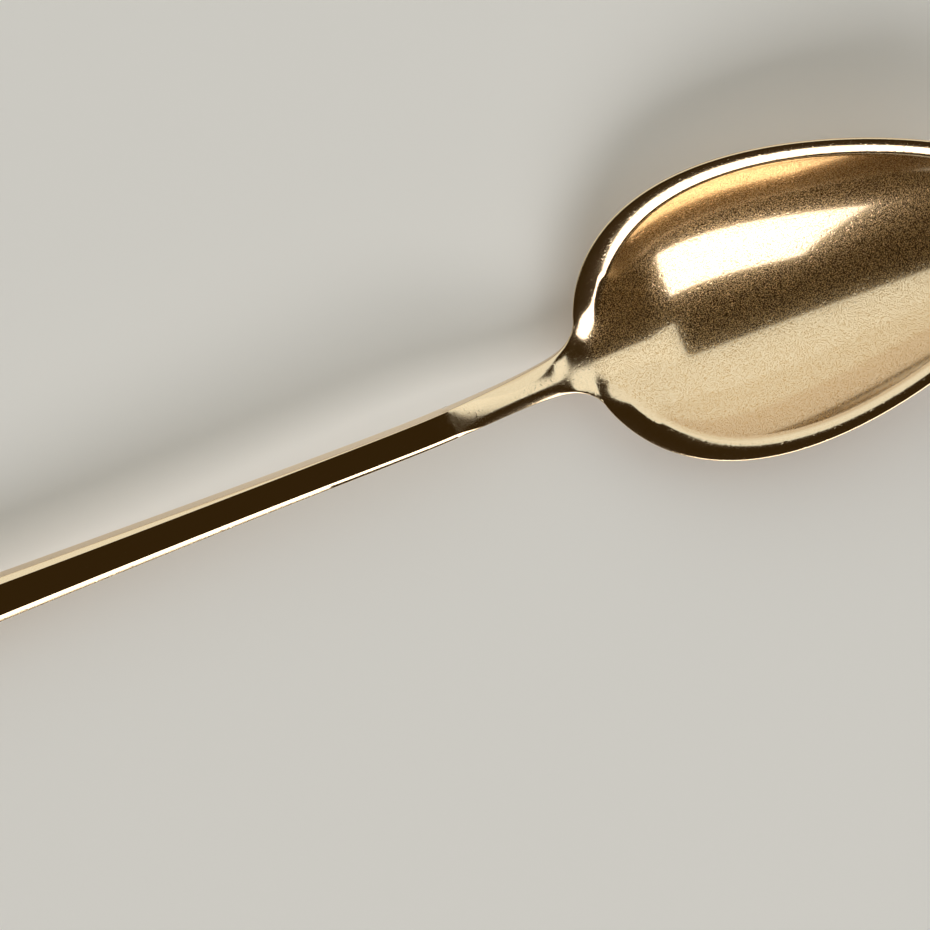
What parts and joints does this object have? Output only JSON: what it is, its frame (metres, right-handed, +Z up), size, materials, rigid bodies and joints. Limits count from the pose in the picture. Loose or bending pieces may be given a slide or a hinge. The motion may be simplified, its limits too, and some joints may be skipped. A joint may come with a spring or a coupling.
{
  "type": "bar spoon",
  "caption": "Long slim spoon for stirring drinks: an egg-shaped rimmed bowl on a faceted stem that ends in a faceted weight.",
  "frame": {"origin": "middle of the spoon's outer box, on the table that it lies on", "axes": "+X along the spoon towards the bowl's tip, +Z up out of the bowl's hollow, +Y across the spoon to the left of the tip"},
  "size_m": [0.3, 0.0286, 0.0137],
  "materials": {
    "gold_polish": "mirror polish, gold coloured plating",
    "stud_steel": "plain machined steel"
  },
  "bodies": {
    "root": {"bowl": "gold_polish", "stem": "gold_polish", "end_weight": "gold_polish", "joining_stud": "stud_steel"}
  },
  "joints": []
}
